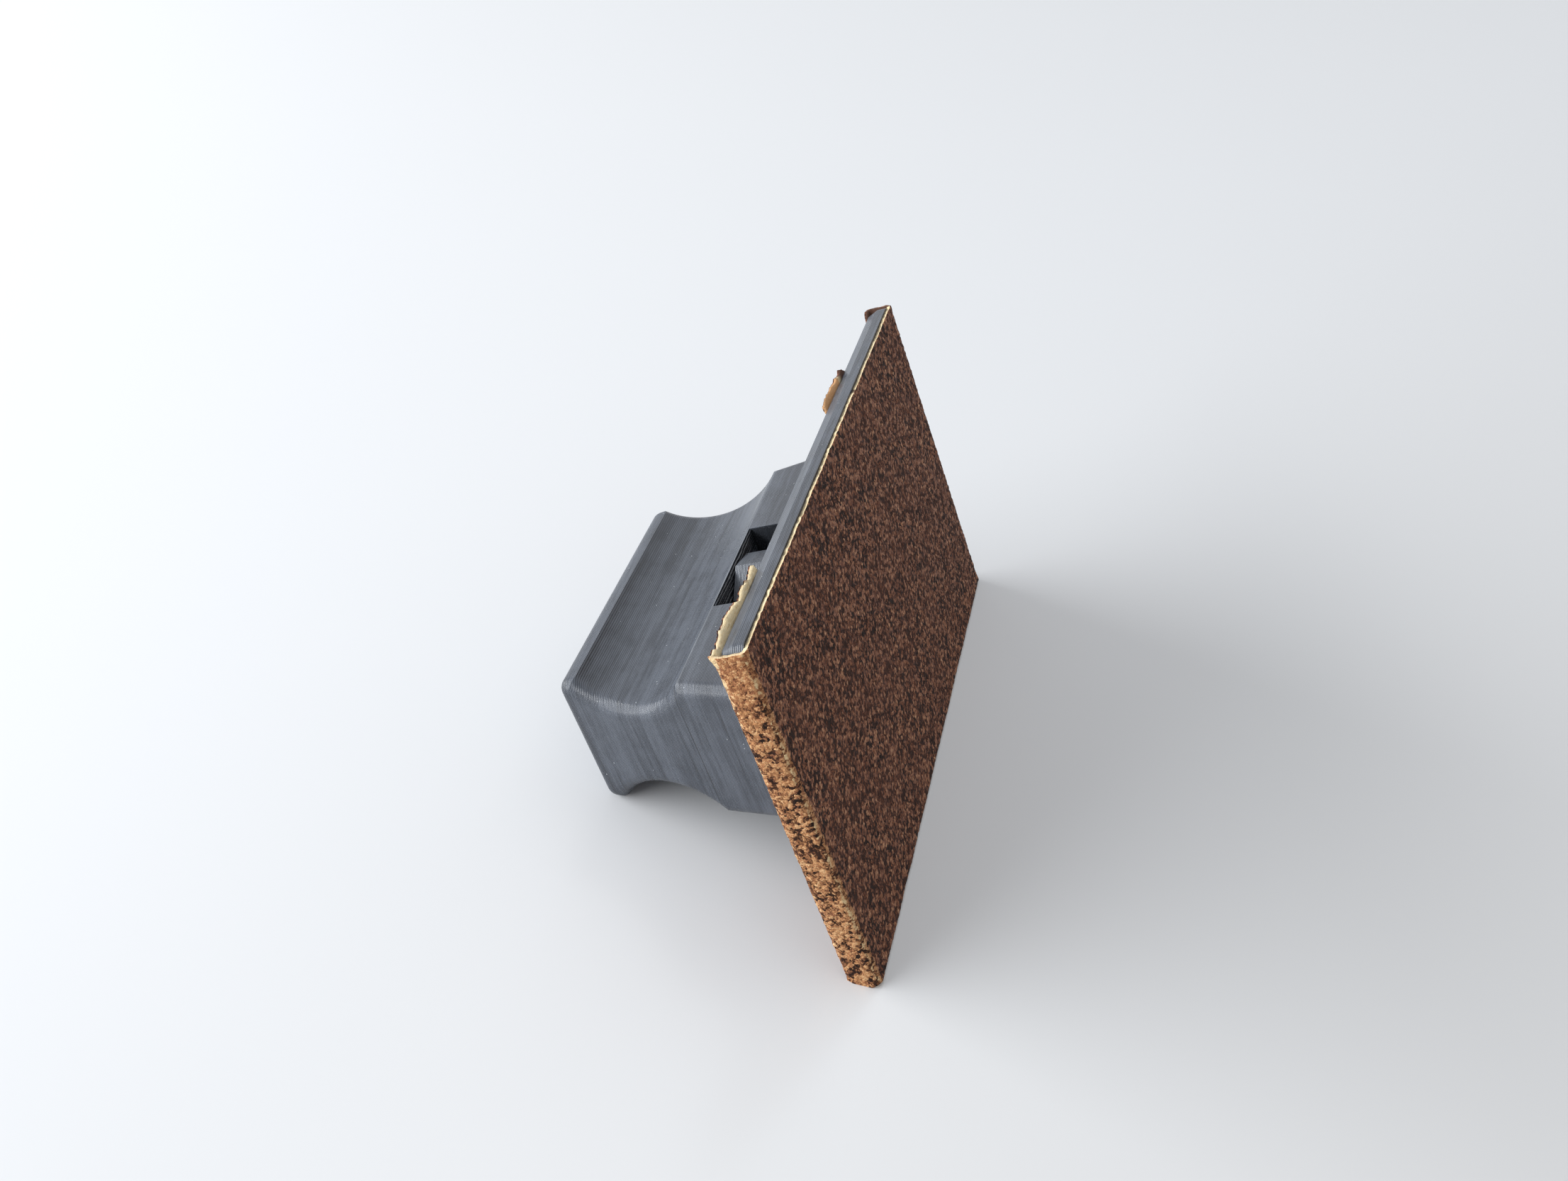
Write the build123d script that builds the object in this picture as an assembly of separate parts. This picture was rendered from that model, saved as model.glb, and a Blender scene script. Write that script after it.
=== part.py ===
from build123d import *
import os
from math import radians, tan

# Sanding block: a base plate with a sheet of sandpaper wrapped round its ends, and a
# handle that locks onto the plate by a quarter turn and clamps the sheet's two flaps.
# Millimetres, +Z up. The origin is the middle of the abrasive face, which lies on Z = 0.
# X runs along the block, and Z is the axis that the handle turns about.

# ---- base plate ----
PLATE_LENGTH = 100.0
PLATE_WIDTH = 56.0
PLATE_THICKNESS = 3.2
PLATE_CORNER = 1.5         # radius of the four upright corners
PLATE_BEVEL_HEIGHT = 1.7   # along the edge of the back
PLATE_BEVEL_INSET = 0.8
LUG_WIDTH = 10.8
LUG_HEIGHT = 9.2
LUG_INSET = 0.1            # the lugs' tips lie this far inside the handle's sides
LUG_SHALLOW_DROP = 1.1     # how far one half of a tip falls away from its ridge
LUG_STEEP_DROP = 2.9       # how far the other half falls away
NECK_HEIGHT = 7.9          # from the plate's back to the underside of the lugs
NECK_INSET = 0.2           # the neck's side lies this far inside the lugs' sides
ROOT_FLARE = 1.2           # round the foot of the neck

# ---- sandpaper ----
PAPER_THICKNESS = 0.8      # backing paper and grit together
PAPER_INSET = 0.3          # each long edge of the sheet lies this far inside the plate's
PAPER_SLACK = 0.3          # air between the sheet and the plate's ends
PAPER_FOLD = 1.2           # outside radius where the sheet turns over an end
SHORT_FLAP = 21.0          # length of the flap on the back at the -X end
LONG_FLAP = 35.0           # length of the flap on the back at the +X end

# ---- handle ----
HANDLE_LENGTH = 72.8       # at its underside
HANDLE_HEIGHT = 38.4       # from its underside to the palm face
END_LEAN = 17.0            # degrees that each end leans in, from upright
HEAD_WIDTH = 22.0
HEAD_SIDE = 3.0            # depth of the head's side, down to the finger groove
BLOCK_WIDTH = 23.2         # the flat-sided lower part
BLOCK_HEIGHT = 16.9        # from its underside to the ridge below the finger groove
GROOVE_SHARE = 0.227       # depth of the finger groove, as a share of its height
GRIP_FILLET = 2.0          # along the palm face and round both ends
WINDOW_LENGTH = 22.0       # opening through both sides, along X

# ---- fits ----
FLAP_CLEARANCE = 0.3       # handle underside to the flaps
LEDGE_CLEARANCE = 0.2      # underside of the lugs to the ledges that they pull on
LUG_CLEARANCE = 0.6        # round and above the lugs
NECK_CLEARANCE = 0.3       # neck corners to the walls of the slot, where they stop the turn
CUT_PAST = 1.0             # how far a cutter runs past the face that it opens

plate_bottom = PAPER_THICKNESS
plate_top = plate_bottom + PLATE_THICKNESS
lug_bottom = plate_top + NECK_HEIGHT
lug_top = lug_bottom + LUG_HEIGHT
lug_length = BLOCK_WIDTH - 2 * LUG_INSET
flap_top = plate_top + PAPER_THICKNESS
handle_bottom = flap_top + FLAP_CLEARANCE
handle_top = handle_bottom + HANDLE_HEIGHT
ridge_level = handle_bottom + BLOCK_HEIGHT
ledge_level = lug_bottom - LEDGE_CLEARANCE
pocket_top = lug_top + LUG_CLEARANCE
pocket_radius = lug_length / 2 + LUG_CLEARANCE
slot_half = LUG_WIDTH / 2 + LUG_CLEARANCE
neck_radius = LUG_WIDTH / 2 - NECK_INSET
neck_corner = slot_half - NECK_CLEARANCE


def lug_outline():
    """Both lugs seen from above. Half a turn leaves the outline as it is."""
    half_x = LUG_WIDTH / 2
    half_y = lug_length / 2
    steep_end = (-half_x, -half_y + LUG_STEEP_DROP)
    ridge = (0, -half_y)
    shallow_end = (half_x, -half_y + LUG_SHALLOW_DROP)
    tip = [steep_end, ridge, shallow_end]
    opposite_tip = [(-x, -y) for x, y in tip]
    return make_face(Polyline(*tip, *opposite_tip, close=True))


def base_plate():
    """Flat plate with a neck and two lugs standing on the middle of its back."""
    slab = extrude(RectangleRounded(PLATE_LENGTH, PLATE_WIDTH, PLATE_CORNER), PLATE_THICKNESS)
    slab = Pos(0, 0, plate_bottom) * slab
    back = slab.faces().sort_by(Axis.Z)[-1]
    slab = chamfer(back.edges(), PLATE_BEVEL_INSET, PLATE_BEVEL_HEIGHT, reference=back)
    neck = Pos(0, 0, plate_bottom) * extrude(Circle(neck_radius), lug_bottom - plate_bottom)
    # Two square corners on the round neck stop the handle at both ends of its quarter turn.
    for side in (1, -1):
        middle = Pos(side * neck_corner / 2, side * neck_corner / 2, plate_bottom)
        neck += middle * extrude(Rectangle(neck_corner, neck_corner), lug_bottom - plate_bottom)
    flare_height = ROOT_FLARE + CUT_PAST
    flare = Cone(neck_radius + flare_height, neck_radius, flare_height)
    neck += Pos(0, 0, plate_top + ROOT_FLARE - flare_height / 2) * flare
    lugs = Pos(0, 0, lug_bottom) * extrude(lug_outline(), LUG_HEIGHT)
    return slab + neck + lugs


def handle_section():
    """The handle's cross-section in YZ: one half is drawn, then mirrored."""
    half_block = BLOCK_WIDTH / 2
    half_head = HEAD_WIDTH / 2
    groove_top = handle_top - HEAD_SIDE
    groove_depth = GROOVE_SHARE * (groove_top - ridge_level)
    groove_middle = ((half_block + half_head) / 2 - groove_depth, (ridge_level + groove_top) / 2)
    half = [
        Line((0, handle_bottom), (half_block, handle_bottom)),
        Line((half_block, handle_bottom), (half_block, ridge_level)),
        ThreePointArc((half_block, ridge_level), groove_middle, (half_head, groove_top)),
        Line((half_head, groove_top), (half_head, handle_top)),
        Line((half_head, handle_top), (0, handle_top)),
    ]
    other_half = [edge.mirror(Plane.YZ) for edge in half]
    return make_face(Wire(half + other_half))


def handle_pocket():
    """Cutter for the space that the lugs turn in, its windows and the slot below it."""
    depth = pocket_top - ledge_level
    space = Pos(0, 0, ledge_level) * extrude(Circle(pocket_radius), depth)
    windows = Rectangle(WINDOW_LENGTH, BLOCK_WIDTH + 2 * CUT_PAST)
    space += Pos(0, 0, ledge_level) * extrude(windows, depth)
    # The lugs pass through the slot when they lie along the handle.
    slot_depth = ledge_level - handle_bottom + 2 * CUT_PAST
    slot = Rectangle(2 * pocket_radius, 2 * slot_half)
    return space + Pos(0, 0, handle_bottom - CUT_PAST) * extrude(slot, slot_depth)


def handle_side():
    """Side view in XZ: a trapezoid, shorter at the palm than at the underside."""
    half_base = HANDLE_LENGTH / 2
    half_palm = half_base - HANDLE_HEIGHT * tan(radians(END_LEAN))
    corners = [(-half_base, 0), (half_base, 0), (half_palm, HANDLE_HEIGHT), (-half_palm, HANDLE_HEIGHT)]
    return make_face(Polyline(*corners, close=True))


def handle():
    """Grip with a flat palm face, a finger groove down each side and a pocket for the lugs."""
    section = Plane.YZ.offset(-HANDLE_LENGTH / 2) * handle_section()
    body = extrude(section, HANDLE_LENGTH, dir=(1, 0, 0))
    side = Plane.XZ.offset(-HEAD_WIDTH) * handle_side()
    body &= Pos(0, 0, handle_bottom) * extrude(side, 2 * HEAD_WIDTH, dir=(0, -1, 0))
    ends = body.faces().sort_by(Axis.X)
    palm = body.faces().sort_by(Axis.Z)[-1]
    end_edges = ends[0].edges() + ends[-1].edges()
    rounded = [edge for edge in end_edges if edge.center().Z > handle_bottom + CUT_PAST]
    rounded += palm.edges().filter_by(Axis.X)
    return fillet(rounded, GRIP_FILLET) - handle_pocket()


def sandpaper():
    """One sheet: the abrasive face, a turn over each end and a flap on the back at each end."""
    width = PLATE_WIDTH - 2 * PAPER_INSET
    half_inner = PLATE_LENGTH / 2 + PAPER_SLACK
    half_outer = half_inner + PAPER_THICKNESS
    sheet = Pos(0, 0, flap_top / 2) * Box(2 * half_outer, width, flap_top)
    sheet = fillet(sheet.edges().filter_by(Axis.Y), PAPER_FOLD)
    space = Pos(0, 0, (plate_bottom + plate_top) / 2)
    sheet -= space * Box(2 * half_inner, width + 2 * CUT_PAST, PLATE_THICKNESS)
    # The back stays open between the ends of the two flaps.
    gap_start = -half_inner + SHORT_FLAP
    gap_end = half_inner - LONG_FLAP
    gap_height = PAPER_THICKNESS + CUT_PAST
    gap = Box(gap_end - gap_start, width + 2 * CUT_PAST, gap_height)
    return sheet - Pos((gap_start + gap_end) / 2, 0, plate_top + gap_height / 2) * gap


PARTS = {
    "base_plate": base_plate,
    "handle": handle,
    "sandpaper": sandpaper,
}

os.makedirs("parts", exist_ok=True)
for name, build in PARTS.items():
    export_step(build(), f"parts/{name}.step")
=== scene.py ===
from math import asin, atan2, cos, hypot, pi, radians, sin

import bpy
from mathutils import Euler, Matrix, Vector, noise


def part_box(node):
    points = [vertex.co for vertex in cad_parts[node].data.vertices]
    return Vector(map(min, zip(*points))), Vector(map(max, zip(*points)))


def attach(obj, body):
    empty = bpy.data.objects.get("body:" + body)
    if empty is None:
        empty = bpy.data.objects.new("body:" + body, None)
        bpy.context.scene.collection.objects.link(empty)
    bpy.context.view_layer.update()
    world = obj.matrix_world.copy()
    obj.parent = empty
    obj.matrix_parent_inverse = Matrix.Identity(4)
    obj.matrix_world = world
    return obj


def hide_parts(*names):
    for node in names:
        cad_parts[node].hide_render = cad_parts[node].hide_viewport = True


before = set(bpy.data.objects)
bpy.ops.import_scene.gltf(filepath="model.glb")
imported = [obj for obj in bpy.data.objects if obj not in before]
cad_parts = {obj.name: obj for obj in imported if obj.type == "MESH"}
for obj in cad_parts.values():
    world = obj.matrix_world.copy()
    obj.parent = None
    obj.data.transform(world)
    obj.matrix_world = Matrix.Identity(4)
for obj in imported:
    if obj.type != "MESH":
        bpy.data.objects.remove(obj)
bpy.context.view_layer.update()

MM = 0.001

plate_low, plate_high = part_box("base_plate")
paper_low, paper_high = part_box("sandpaper")
handle_low, handle_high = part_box("handle")
PLATE_BACK = 4.0 * MM           # level of the plate's back; its box also holds the lugs
HEAD_HALF = 11.0 * MM           # half the width of the handle's head
HEAD_ROUND = 2.0 * MM           # radius along the palm face
POCKET_TOP = 21.7 * MM          # ceiling of the handle's pocket
POCKET_FLOOR = 11.7 * MM        # its lower edge
POCKET_HALF = 11.0 * MM         # half the length of its windows
RIDGE = 22.0 * MM               # level of the edge below the finger groove


# ---- shader maths ------------------------------------------------------------

class Value:
    """A shader socket that Python's operators work on."""

    def __init__(self, shader, socket):
        self.shader = shader
        self.socket = socket

    def _math(self, operation, *others):
        return self.shader.node("ShaderNodeMath", {"operation": operation}, [self, *others])

    def __add__(self, other):
        return self._math("ADD", other)

    def __radd__(self, other):
        return self._math("ADD", other)

    def __sub__(self, other):
        return self._math("SUBTRACT", other)

    def __rsub__(self, other):
        return self.shader.node("ShaderNodeMath", {"operation": "SUBTRACT"}, [other, self])

    def __mul__(self, other):
        return self._math("MULTIPLY", other)

    def __rmul__(self, other):
        return self._math("MULTIPLY", other)

    def __truediv__(self, other):
        return self._math("DIVIDE", other)

    def __gt__(self, other):
        return self._math("GREATER_THAN", other)

    def __lt__(self, other):
        return self._math("LESS_THAN", other)

    def absolute(self):
        return self._math("ABSOLUTE")

    def sine(self):
        return self._math("SINE")

    def ramp(self, start, end, low=0.0, high=1.0):
        """low before start, high after end, and smooth between them."""
        settings = {"interpolation_type": "SMOOTHSTEP"}
        return self.shader.node("ShaderNodeMapRange", settings, [self, start, end, low, high])


class Shader:
    """A material with one Principled surface, built from wrapped sockets."""

    def __init__(self, name):
        self.material = bpy.data.materials.new(name)
        self.material.use_nodes = True
        self.tree = self.material.node_tree
        self.surface = self.tree.nodes["Principled BSDF"]
        self.output = self.tree.nodes["Material Output"]

    def plug(self, socket, value):
        """Links a wrapped socket into a socket, or sets it to a plain number or colour."""
        if isinstance(value, Value):
            self.tree.links.new(value.socket, socket)
        elif value is not None:
            socket.default_value = value

    def node(self, kind, settings=None, inputs=(), out=0):
        """One node: its settings first, then its sockets by place or by name."""
        made = self.tree.nodes.new(kind)
        for key, setting in (settings or {}).items():
            if key == "stops":
                self._stops(made.color_ramp, setting)
            else:
                setattr(made, key, setting)
        pairs = inputs.items() if isinstance(inputs, dict) else enumerate(inputs)
        for key, value in pairs:
            self.plug(made.inputs[key], value)
        return Value(self, made.outputs[out])

    @staticmethod
    def _stops(ramp, stops):
        while len(ramp.elements) < len(stops):
            ramp.elements.new(1.0)
        for element, (place, colour) in zip(ramp.elements, stops):
            element.position = place
            element.color = (*colour, 1.0)

    def place(self):
        """Position on the object at rest, in metres."""
        return self.node("ShaderNodeTexCoord", out="Object")

    def noise(self, place, size, detail=2.0, rough=0.5, stretch=None):
        if stretch:
            place = self.node("ShaderNodeMapping", {}, {"Vector": place, "Scale": stretch})
        inputs = {"Vector": place, "Scale": 1 / size, "Detail": detail, "Roughness": rough}
        return self.node("ShaderNodeTexNoise", {}, inputs)

    def cells(self, place, size, feature="F1", out="Distance"):
        inputs = {"Vector": place, "Scale": 1 / size}
        return self.node("ShaderNodeTexVoronoi", {"feature": feature}, inputs, out)

    def colours(self, value, stops):
        return self.node("ShaderNodeValToRGB", {"stops": stops}, [value])

    def mix(self, mask, first, second, blend="MIX"):
        settings = {"data_type": "RGBA", "blend_type": blend}
        made = {0: mask, 6: first, 7: second}
        return self.node("ShaderNodeMix", settings, made, out=2)

    def bump(self, height, distance, strength=1.0, normal=None):
        inputs = {"Height": height, "Distance": distance, "Strength": strength, "Normal": normal}
        return self.node("ShaderNodeBump", {}, inputs)

    def finish(self, **sockets):
        for name, value in sockets.items():
            self.plug(self.surface.inputs[name.replace("_", " ")], value)
        return self.material


# ---- finishes ----------------------------------------------------------------

PLASTIC = (0.040, 0.046, 0.059, 1)
PLASTIC_PALE = (0.086, 0.097, 0.119, 1)
# pale crumbs in the pocket, and the painted highlight along the ridge under the finger groove
PALE_CRUMBS_AND_PAINTED_HIGHLIGHT = (0.24, 0.26, 0.29, 1)
# dark layer lines and seam, and the painted shade inside the pocket
DARK_LINES_AND_PAINTED_SHADE = (0.022, 0.024, 0.028, 1)
DUST = (0.62, 0.65, 0.67, 1)
LAYER = 0.25 * MM
SEAM_LEVEL = 22.5 * MM          # first layer over the pocket, a darker line on the ends


def axis(shader, place, name):
    """One coordinate of a place."""
    return shader.node("ShaderNodeSeparateXYZ", {}, [place], out=name)


def chance(shader, place, size):
    """A number from 0 to 1 for each cell of a given size."""
    return shader.node("ShaderNodeSeparateColor", {}, [shader.cells(place, size, out="Color")])


def printed_plastic(name, is_handle=False):
    """Blue-grey printed plastic: fine layers in Z, satin, with a little dust on it; on the handle also a
    painted highlight along the ridge and painted shade inside the pocket.
    """
    s = Shader(name)
    place = s.place()
    level = axis(s, place, "Z")
    waver = s.noise(place, 9 * MM, 1.0) * (0.5 * LAYER)
    layers = ((level + waver) * (2 * pi / LAYER)).sine()
    uneven = s.noise(place, 0.3 * MM, 3.0, stretch=(0.05, 0.05, 1.0))
    bands = s.noise(place, 1.3 * MM, 3.0, 0.7, stretch=(0.03, 0.03, 1.0))
    mottle = s.noise(place, 5 * MM, 4.0, 0.65)
    tone = mottle * 0.5 + bands * 0.75 + uneven * 0.35 - 0.3
    colour = s.mix(tone.ramp(0.33, 0.67), PLASTIC, PLASTIC_PALE)
    relief = layers * 0.55 + uneven * 1.3 + bands * 0.8
    thin = (0.5 - (bands - 0.36).absolute() * 22).ramp(0.0, 0.5) * uneven.ramp(0.35, 0.55)
    colour = s.mix(thin * 0.7, colour, DARK_LINES_AND_PAINTED_SHADE)
    rough = mottle.ramp(0.2, 0.8, 0.24, 0.34)
    if is_handle:
        far_out = axis(s, place, "X").absolute()
        out = axis(s, place, "Y").absolute()
        seam = 1 - (level - SEAM_LEVEL).absolute().ramp(0.05 * MM, 0.17 * MM)
        seam = seam * (far_out > 24 * MM) * uneven.ramp(0.35, 0.6, 0.35, 1.0)
        colour = s.mix(seam * 0.75, colour, DARK_LINES_AND_PAINTED_SHADE)
        relief = relief - seam * 2.0
        # painted highlight: a pale line along the ridge under the finger groove
        ridge = 1 - (level - RIDGE + waver).absolute().ramp(0.05 * MM, 0.42 * MM)
        ridge = ridge * out.ramp(10.9 * MM, 11.4 * MM) * uneven.ramp(0.2, 0.7, 0.45, 1.0)
        colour = s.mix(ridge * 0.55, colour, PALE_CRUMBS_AND_PAINTED_HIGHLIGHT)
        inside = (out < handle_high.y - 0.15 * MM) * (far_out < 12.4 * MM)
        inside = inside * (level < POCKET_TOP + 0.05 * MM)
        crumbs = s.noise(place, 0.5 * MM, 4.0, 0.7)
        relief = relief + inside * crumbs * 5.0
        # painted shade: the inside of the pocket is darkened
        colour = s.mix(inside * 0.8, colour, DARK_LINES_AND_PAINTED_SHADE)
        colour = s.mix(inside * (crumbs > 0.64) * 0.6, colour, PALE_CRUMBS_AND_PAINTED_HIGHLIGHT)
    speck = s.cells(place, 0.7 * MM)
    dust = (speck < 0.13) * (chance(s, place, 0.7 * MM) > 0.95)
    colour = s.mix(dust * 0.55, colour, DUST)
    normal = s.bump(relief, 0.045 * MM, 0.6)
    grain = s.bump(s.noise(place, 0.22 * MM, 2.0), 0.03 * MM, 0.3, normal)
    return s.finish(Base_Color=colour, Roughness=rough + dust * 0.3, Normal=grain)


GRIT_PITCH = 0.58 * MM


def coarse_grit():
    """Brown mineral grains in resin, with dark gaps, tan facets, and a paler near end and fold crests that are
    partly worn grit and partly painted light.
    """
    s = Shader("coarse_grit")
    place = s.place()
    drift = s.node("ShaderNodeTexNoise", {}, {"Vector": place, "Scale": 1 / (0.45 * MM)}, 1)
    warp = {"operation": "MULTIPLY_ADD"}
    warped = s.node("ShaderNodeVectorMath", warp, [drift, (0.5 * MM,) * 3, place])
    grain = s.cells(warped, GRIT_PITCH)
    tone = chance(s, warped, GRIT_PITCH)
    fine = s.cells(warped, GRIT_PITCH * 0.4)
    fine_tone = chance(s, warped, GRIT_PITCH * 0.4)
    clumps = s.noise(place, 2.2 * MM, 3.0, 0.6)
    patches = s.noise(place, 9 * MM, 3.0)
    value = tone * 0.42 + fine_tone * 0.22 - grain * 0.34 - fine * 0.16 + clumps * 0.34 + 0.21
    colour = s.colours(value, [
        (0.24, (0.006, 0.003, 0.002)),
        (0.38, (0.026, 0.009, 0.005)),
        (0.48, (0.150, 0.052, 0.026)),
        (0.62, (0.290, 0.118, 0.058)),
        (0.76, (0.50, 0.245, 0.125)),
        (0.92, (0.78, 0.50, 0.29)),
    ])
    colour = s.mix(patches.ramp(0.3, 0.75) * 0.28, colour, (0.165, 0.060, 0.034, 1))
    wear = s.node("ShaderNodeAttribute", {"attribute_name": "wear"}, out="Fac")
    crest = s.node("ShaderNodeAttribute", {"attribute_name": "crest"}, out="Fac")
    ragged = clumps * 0.9 + tone * 0.35 + fine_tone * 0.2
    # painted light: the near end is paler and more orange, partly from worn grit, partly as painted light
    bare_and_lit = (wear + ragged - 1.12).ramp(0.0, 0.35)
    worn_and_lit = s.colours(fine_tone * 0.35 + clumps * 0.5 + tone * 0.3, [
        (0.25, (0.13, 0.048, 0.022)),
        (0.48, (0.34, 0.135, 0.058)),
        (0.68, (0.55, 0.265, 0.110)),
        (0.85, (0.72, 0.44, 0.22)),
    ])
    colour = s.mix(bare_and_lit * 0.9, colour, worn_and_lit)
    # fold crests on the near end: partly cracked grit, partly a painted highlight
    cracked_and_lit = (crest + ragged * 0.8 - 1.02).ramp(0.0, 0.22)
    colour = s.mix(cracked_and_lit * 0.92, colour, (0.72, 0.53, 0.29, 1))
    relief = (1 - grain) * 0.8 + (1 - fine) * 0.35 + tone * 0.5
    rough = tone.ramp(0.2, 0.9, 0.9, 0.6)
    normal = s.bump(relief, 0.26 * MM, 0.9)
    return s.finish(Base_Color=colour, Roughness=rough, Normal=normal, Specular_IOR_Level=0.22)


def torn_paper():
    """Pale yellow paper fibres, stained brown by resin here and there."""
    s = Shader("torn_paper")
    place = s.place()
    fibres = s.noise(place, 0.4 * MM, 4.0, 0.65, stretch=(0.4, 1.0, 1.6))
    stain = s.noise(place, 2.5 * MM, 3.0)
    colour = s.colours(fibres, [
        (0.25, (0.60, 0.38, 0.17)),
        (0.42, (0.86, 0.68, 0.40)),
        (0.75, (0.90, 0.78, 0.55)),
    ])
    soaked = s.node("ShaderNodeAttribute", {"attribute_name": "soaked"}, out="Fac")
    brown = (stain.ramp(0.60, 0.72) * 0.8 + soaked).ramp(0.0, 1.0)
    colour = s.mix(brown, colour, (0.085, 0.036, 0.020, 1))
    orange = s.node("ShaderNodeAttribute", {"attribute_name": "orange"}, out="Fac")
    colour = s.mix(orange * 0.8, colour, (0.66, 0.31, 0.12, 1))
    return s.finish(Base_Color=colour, Roughness=0.85, Normal=s.bump(fibres, 0.2 * MM, 0.8))


# ---- the sheet of sandpaper ---------------------------------------------------

STEP = 0.33 * MM                # spacing of the sheet's points
FOLD = 1.2 * MM                 # outside radius of each turn
THICKNESS = plate_low.z - paper_low.z
GRAIN_SHARE = 0.3               # share of the thickness at the rim that is grit
SHORT_TIP = paper_low.x + 21.8 * MM
LONG_TIP = paper_high.x - 35.8 * MM
NARROW_FROM = 27.5 * MM         # from here to its fold the long flap is cut narrower at -Y
NARROW_BY = 2.2 * MM
SWEEP = 38.4 * MM               # the turning handle passes over what is nearer than this
SWEEP_LEVEL = handle_low.z - 0.08 * MM


def fold_path():
    """Points and outward normals round the sheet's outer face, from flap tip to flap tip."""
    low_x, high_x = paper_low.x, paper_high.x
    low_z, high_z = paper_low.z, paper_high.z
    corners = [(low_x, high_z, 90), (low_x, low_z, 180), (high_x, low_z, 270), (high_x, high_z, 0)]
    route = [(SHORT_TIP, high_z, 0.0, 1.0)]
    for x, z, start in corners:
        centre_x = x + (FOLD if x < 0 else -FOLD)
        centre_z = z + (FOLD if z < (low_z + high_z) / 2 else -FOLD)
        for part in range(13):
            angle = radians(start + 90 * part / 12)
            normal = (cos(angle), sin(angle))
            route.append((centre_x + FOLD * normal[0], centre_z + FOLD * normal[1], *normal))
    route.append((LONG_TIP, high_z, 0.0, 1.0))
    return route


def even_stations(route, step):
    """The route cut into equal steps, with its length at each point."""
    stations = []
    travelled = 0.0
    due = 0.0
    for first, second in zip(route, route[1:]):
        span = hypot(second[0] - first[0], second[1] - first[1])
        while span > 0 and due <= travelled + span:
            share = (due - travelled) / span
            point = [a + (b - a) * share for a, b in zip(first, second)]
            stations.append((*point, due))
            due += step
        travelled += span
    return stations


def fuzz(x, y, size, seed=0.0):
    """Smooth noise from about -1 to 1."""
    return noise.noise(Vector((x / size, y / size, seed)))


def grain_height(x, y, seed):
    """How far the grains fall short of the highest, from 0 to 1, at a point of the flat sheet."""
    spot = Vector((x / GRIT_PITCH, y / GRIT_PITCH, seed))
    distances, points = noise.voronoi(spot)
    lot = noise.cell(points[0] * 7.3) * 0.5 + 0.5
    return min(1.0, 0.25 + 0.45 * distances[0] + 0.35 * lot)


def flap_lift(x, y, on_short, edge):
    """How far a flap stands off the plate's back, from its spring and its torn edges."""
    if on_short:
        spring = max(0.0, 1 - (x - paper_low.x) / (13 * MM))
        arch = 0.55 * MM * sin(pi * min(1.0, spring * 1.25)) if spring < 0.8 else 0.32 * MM
        rise = max(0.0, edge - 0.93) / 0.07
        curl = max(0.0, 1 - (SHORT_TIP - x) / (4 * MM))
        ragged = 0.22 + 0.28 * fuzz(x, y, 2.0 * MM, 3.0)
        return arch * (0.6 + 0.4 * rise) + rise * (ragged + 0.35 * curl) * MM
    tear = max(0.0, 1 - abs(x - 18.5 * MM) / (5 * MM))
    side = max(0.0, edge - 0.9) / 0.1 if y < 0 else 0.0
    bulge = 0.95 + 0.4 * fuzz(x, y, 1.5 * MM, 5.0)
    return side * (bulge * tear + 0.12 + 0.12 * fuzz(x, y, 1.0 * MM, 12.0)) * MM


def sheet_point(station, across, depth):
    """Point of the sheet at a station, from -1 to 1 across it, and from 0 to 1 into it."""
    x, z, normal_x, normal_z, travelled = station
    half = paper_high.y
    on_back = normal_z > 0.7 and z > PLATE_BACK
    on_short = x < 0
    edge = abs(across)
    y = across * half
    side = 1 if across > 0 else -1
    rim = max(0.0, edge - 0.94) / 0.06
    wander = 0.16 * fuzz(travelled, side, 6 * MM, 1.0) + 0.14 * fuzz(travelled, side, 1.0 * MM, 2.0)
    if on_back:
        wander = 0.45 * fuzz(travelled, side, 2.4 * MM, 4.0) + 0.35 * fuzz(travelled, side, 0.8 * MM, 6.0)
    if x < paper_low.x + FOLD and across > 0:
        wander *= 3.0
    y += side * rim * wander * MM
    if on_back:
        tip_gap = (SHORT_TIP - x) if on_short else (x - LONG_TIP)
        fringe = max(0.0, 1 - tip_gap / (3 * MM))
        torn = 1.1 * fuzz(y, 0.0, 5 * MM, 8.0) + 0.5 * fuzz(y, 0.0, 1.2 * MM, 9.0) - 0.6
        x += fringe * torn * MM * (1 if on_short else -1)
    if on_back and not on_short and across < 0:
        share = min(1.0, max(0.0, (x - NARROW_FROM) / (2.5 * MM)))
        fold_share = min(1.0, max(0.0, (paper_high.x - FOLD - x) / (1.5 * MM)))
        y += share * fold_share * rim * NARROW_BY
    drop = 0.3 * MM * grain_height(travelled, y, 0.0) * (1 - 0.6 * rim)
    inward = drop + (THICKNESS - 0.04 * MM - drop) * depth
    if depth > 0 and rim > 0:
        inward += 0.04 * MM * fuzz(travelled, depth, 0.7 * MM, 11.0)
    x -= normal_x * inward
    z -= normal_z * inward
    if on_back:
        z += flap_lift(x, y, on_short, edge)
        if hypot(x, y) < SWEEP:
            ceiling = SWEEP_LEVEL - inward * 0.3
            z = min(z, ceiling)
    return (x, y, z)


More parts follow.
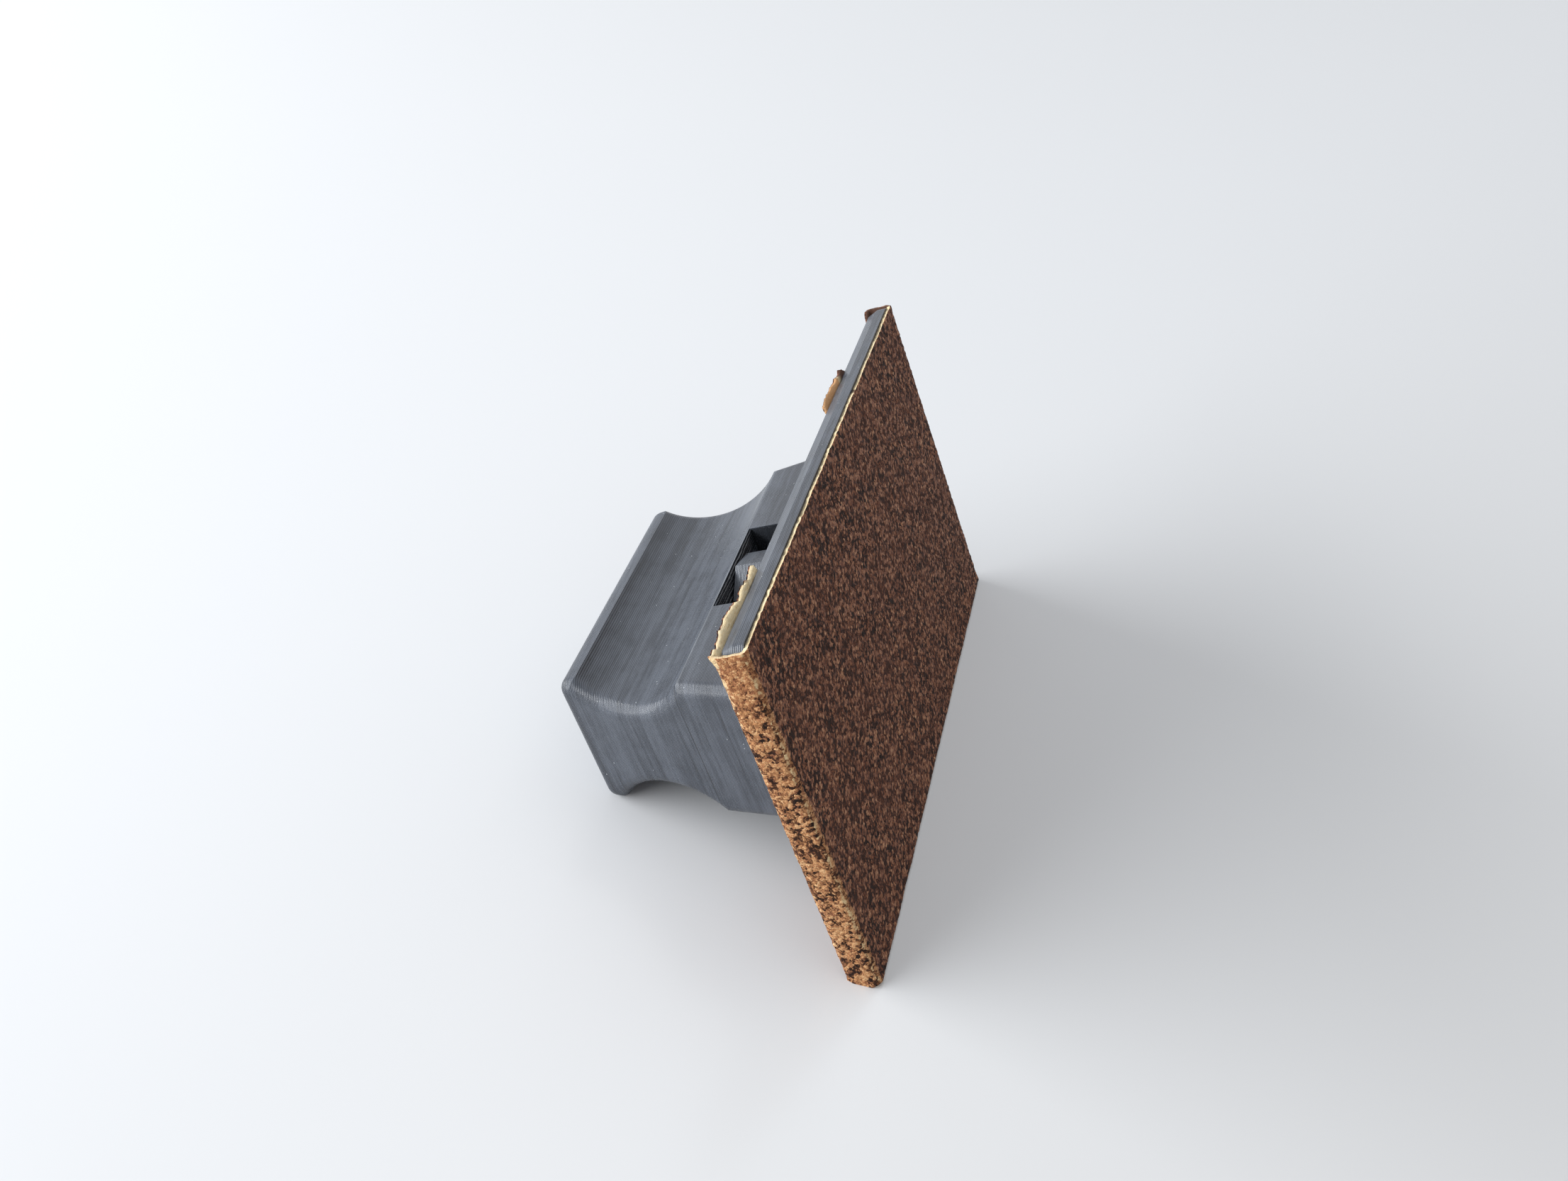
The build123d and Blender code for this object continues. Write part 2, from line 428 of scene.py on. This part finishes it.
def sheet_marks(station, across):
    """How worn and cracked (on the near end partly painted light), soaked with resin and torn to orange the
    sheet is at a point.
    """
    x, z, normal_x, normal_z, _travelled = station
    on_arc = min(abs(normal_x), abs(normal_z)) > 0.05
    wear = 0.0
    crest = 0.0
    # the near end: paler partly from wear, partly as painted light; its fold crests partly cracked, partly a
    # painted highlight
    if x < 0 and abs(normal_x) > 0.02:
        to_corner = max(0.0, 1 - (across + 1) / 0.45)
        wear = 0.62 + 0.36 * to_corner
        if on_arc:
            peak = min(abs(normal_x), abs(normal_z)) * 1.41
            crest = peak * (0.56 if z < PLATE_BACK / 2 else 0.46 + 0.3 * to_corner)
        wear = max(wear, crest)
    elif x > 0:
        wear = 0.35 * abs(normal_x)
    soaked = min(1.0, max(0.0, (x - 24 * MM) / (2 * MM))) if z > PLATE_BACK / 2 else 0.0
    soaked = max(soaked, min(1.0, max(0.0, abs(normal_x)))) if x > 0 else soaked
    on_back = normal_z > 0.7 and z > PLATE_BACK
    orange = 1.0 if on_back and 12 * MM < x < 24 * MM else 0.0
    if x < 0 and normal_x < -0.3:
        orange = 0.25
    return {"wear": wear, "crest": crest, "soaked": soaked, "orange": orange}


def make_mesh(name, points, faces, materials, face_material=None, smooth=True):
    mesh = bpy.data.meshes.new(name)
    mesh.from_pydata(points, [], faces)
    for material in materials:
        mesh.materials.append(material)
    if face_material:
        mesh.polygons.foreach_set("material_index", face_material)
    mesh.polygons.foreach_set("use_smooth", [smooth] * len(faces))
    mesh.update()
    piece = bpy.data.objects.new(name, mesh)
    bpy.context.scene.collection.objects.link(piece)
    return piece


def sandpaper_sheet():
    """The folded sheet as one closed mesh: grit outside, paper inside and at its torn rim."""
    stations = even_stations(fold_path(), STEP)
    columns = int(2 * paper_high.y / STEP)
    spread = [2 * i / columns - 1 for i in range(columns + 1)]
    coarse = 6
    inner_spread = spread[::coarse]
    if inner_spread[-1] != spread[-1]:
        inner_spread.append(spread[-1])
    rims = (GRAIN_SHARE,)
    points = []
    marks = []
    rows = []
    for station in stations:
        row = {"outer": [], "rim_low": [], "rim_high": [], "inner": []}
        layout = [("outer", spread, 0.0), ("inner", inner_spread, 1.0)]
        layout += [("rim_low", (-1.0,), depth) for depth in rims]
        layout += [("rim_high", (1.0,), depth) for depth in rims]
        for key, places, depth in layout:
            for across in places:
                row[key].append(len(points))
                points.append(sheet_point(station, across, depth))
                marks.append(sheet_marks(station, across))
        rows.append(row)
    faces = []
    kinds = []

    def add(face, kind):
        faces.append(face)
        kinds.append(kind)

    for here, there in zip(rows, rows[1:]):
        for key, kind in (("outer", 0), ("inner", 1)):
            for a, b, c, d in zip(here[key], here[key][1:], there[key][1:], there[key]):
                add((a, b, c, d) if key == "outer" else (d, c, b, a), kind)
        low = [[r["outer"][0], *r["rim_low"], r["inner"][0]] for r in (here, there)]
        high = [[r["outer"][-1], *r["rim_high"], r["inner"][-1]] for r in (here, there)]
        for kind, (a, b, c, d) in enumerate(zip(low[0], low[1], low[1][1:], low[0][1:])):
            add((a, b, c, d), kind)
        for kind, (a, b, c, d) in enumerate(zip(high[0], high[1], high[1][1:], high[0][1:])):
            add((d, c, b, a), kind)
    for row, forward in ((rows[0], False), (rows[-1], True)):
        for i in range(len(inner_spread) - 1):
            start = i * coarse
            end = min(start + coarse, columns)
            face = row["outer"][start:end + 1] + [row["inner"][i + 1], row["inner"][i]]
            if i == 0:
                face.append(row["rim_low"][0])
            if i == len(inner_spread) - 2:
                face.insert(end - start + 1, row["rim_high"][0])
            add(tuple(face if forward else reversed(face)), 1)
    sheet = make_mesh("sandpaper_sheet", points, faces, [coarse_grit(), torn_paper()], kinds)
    for name in marks[0]:
        attribute = sheet.data.attributes.new(name, "FLOAT", "POINT")
        attribute.data.foreach_set("value", [mark[name] for mark in marks])
    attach(sheet, "base")
    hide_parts("sandpaper")
    return sheet


# ---- strands under the pocket's ceiling ----------------------------------------

STRAND_RADIUS = 0.17 * MM
STRAND_PITCH = 0.42 * MM


def pocket_strands(plastic):
    """The first threads bridged over the pocket: loose, uneven runs along X."""
    points = []
    faces = []
    half_width = handle_high.y - 0.35 * MM
    count = int(2 * half_width / STRAND_PITCH)
    sides = 6
    stops = 30
    for number in range(count + 1):
        y = -half_width + number * STRAND_PITCH
        sag = (0.10 + 0.10 * noise.cell(Vector((number * 3.1, 0, 0)))) * MM
        first = len(points)
        for stop in range(stops + 1):
            share = stop / stops
            x = POCKET_HALF * (2 * share - 1)
            wave = fuzz(x, y, 1.1 * MM, 1.0)
            level = POCKET_TOP - STRAND_RADIUS * 0.9 - sag * sin(pi * share) - 0.05 * MM * wave
            middle = Vector((x, y + 0.12 * MM * fuzz(x, y, 2 * MM, 2.0), level))
            thick = STRAND_RADIUS * (1 + 0.3 * fuzz(x, y, 0.8 * MM, 3.0))
            for side in range(sides):
                angle = 2 * pi * side / sides
                points.append(middle + Vector((0, cos(angle), sin(angle))) * thick)
        for stop in range(stops):
            for side in range(sides):
                a = first + stop * sides + side
                b = first + stop * sides + (side + 1) % sides
                faces.append((a, b, b + sides, a + sides))
        faces.append(tuple(first + side for side in reversed(range(sides))))
        faces.append(tuple(first + stops * sides + side for side in range(sides)))
    strands = make_mesh("pocket_strands", points, faces, [plastic])
    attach(strands, "handle")
    return strands


# ---- floor, lamps and camera ---------------------------------------------------

CAMERA_PLACE = Vector((-205.14, -125.34, -76.09)) * MM
CAMERA_TURN = Euler((radians(-156.879), radians(67.064), radians(55.096)))
CAMERA_LENS = 38.24
SKY_LIGHT = 0.50                # the sky's strength on the object


def lean_of_floor():
    """The block lies on the plate's long edge and the head's side: how far its Z axis leans."""
    across = plate_high.y - (HEAD_HALF - HEAD_ROUND)
    up = handle_high.z - HEAD_ROUND - plate_low.z
    return atan2(across, up) - asin(HEAD_ROUND / hypot(across, up))


def floor_finish(towards_light):
    """White table top with painted light: paler and cooler towards the window, greyer away from it; seen from
    its upper side only.
    """
    s = Shader("white_table")
    place = s.place()
    along = s.node("ShaderNodeVectorMath", {"operation": "DOT_PRODUCT"}, [place, tuple(towards_light)], 1)
    # painted light: the table is paler and cooler towards the window, greyer away from it
    painted_window_light = along.ramp(-0.25, 0.12)
    colour = s.mix(painted_window_light, (0.74, 0.735, 0.73, 1), (0.85, 0.865, 0.885, 1))
    s.finish(Base_Color=colour, Roughness=0.25)
    back = s.node("ShaderNodeNewGeometry", out="Backfacing")
    clear = s.node("ShaderNodeBsdfTransparent")
    surface = Value(s, s.surface.outputs[0])
    shown = s.node("ShaderNodeMixShader", {}, [back, surface, clear])
    s.plug(s.output.inputs["Surface"], shown)
    return s.material


def disc(name, centre, normal, radius, material):
    """Flat round sheet that faces along normal."""
    turn = normal.to_track_quat("Z", "Y").to_matrix()
    rim = [Vector((cos(2 * pi * i / 96), sin(2 * pi * i / 96), 0)) * radius for i in range(96)]
    points = [centre + turn @ point for point in rim]
    return make_mesh(name, points, [tuple(range(96))], [material], smooth=False)


def floors(up, right, away):
    touch = Vector((0, plate_high.y, plate_low.z)) - up * 0.02 * MM
    material = floor_finish((away - right).normalized())
    table = disc("table_top", touch, up, 4.0, material)
    shelf = disc("shelf_top", Vector((0, 0, paper_low.z - 0.05 * MM)), Vector((0, 0, 1)), 4.0, material)
    for seen in ("visible_diffuse", "visible_glossy", "visible_transmission", "visible_shadow"):
        setattr(shelf, seen, False)


def softbox(name, place, aim, up, size, power, colour):
    """A rectangular lamp that faces aim, with its width level with the table."""
    lamp = bpy.data.lights.new(name, "AREA")
    lamp.shape = "RECTANGLE"
    lamp.size, lamp.size_y = size
    lamp.energy = power
    lamp.color = colour
    back = (place - aim).normalized()
    level = up.cross(back).normalized()
    piece = bpy.data.objects.new(name, lamp)
    piece.location = place
    piece.rotation_euler = Matrix((level, back.cross(level), back)).transposed().to_euler()
    bpy.context.scene.collection.objects.link(piece)


def table_directions():
    """Up from the table, then right and away along it as the camera sees them."""
    lean = lean_of_floor()
    up = Vector((0, -cos(lean), -sin(lean)))
    turn = CAMERA_TURN.to_matrix()
    right = turn.col[0] - up * turn.col[0].dot(up)
    right.normalize()
    return up, right, up.cross(right)


def lighting(up, right, away):
    """A low window at the left, soft light from above and a pale sky all round."""
    middle = Vector((0, 0, 20 * MM))
    window = middle - right * 0.88 + up * 0.34 - away * 0.12
    softbox("window", window, middle, up, (1.5, 0.34), 15.5, (0.96, 0.98, 1))
    ceiling = middle + up * 0.9 + right * 0.1 + away * 0.3
    softbox("ceiling_light", ceiling, middle, up, (0.8, 0.8), 0.9, (1, 0.99, 0.97))
    world = bpy.context.scene.world or bpy.data.worlds.new("sky")
    bpy.context.scene.world = world
    world.use_nodes = True
    tree = world.node_tree
    sky = tree.nodes["Background"]
    sky.inputs["Color"].default_value = (0.95, 0.97, 1.0, 1)
    rays = tree.nodes.new("ShaderNodeLightPath")
    seen = tree.nodes.new("ShaderNodeMath")
    seen.operation = "MAXIMUM"
    tree.links.new(rays.outputs["Is Camera Ray"], seen.inputs[0])
    tree.links.new(rays.outputs["Is Glossy Ray"], seen.inputs[1])
    strength = tree.nodes.new("ShaderNodeMapRange")
    strength.inputs["To Min"].default_value = SKY_LIGHT
    strength.inputs["To Max"].default_value = 1.0
    tree.links.new(seen.outputs[0], strength.inputs["Value"])
    tree.links.new(strength.outputs["Result"], sky.inputs["Strength"])


def camera():
    data = bpy.data.cameras.new("camera")
    data.lens = CAMERA_LENS
    data.sensor_width = 36.0
    data.clip_start = 0.005
    piece = bpy.data.objects.new("camera", data)
    piece.location = CAMERA_PLACE
    piece.rotation_euler = CAMERA_TURN
    bpy.context.scene.collection.objects.link(piece)
    bpy.context.scene.camera = piece


def finish_cad_nodes():
    handle_plastic = printed_plastic("handle_plastic_layers", is_handle=True)
    for name, material in (("handle", handle_plastic), ("base_plate", printed_plastic("plate_plastic_layers"))):
        for material_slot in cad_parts[name].material_slots:
            material_slot.material = material
    return handle_plastic


plastic = finish_cad_nodes()
sandpaper_sheet()
pocket_strands(plastic)
camera()
directions = table_directions()
floors(*directions)
lighting(*directions)
bpy.context.scene.view_settings.view_transform = "Standard"
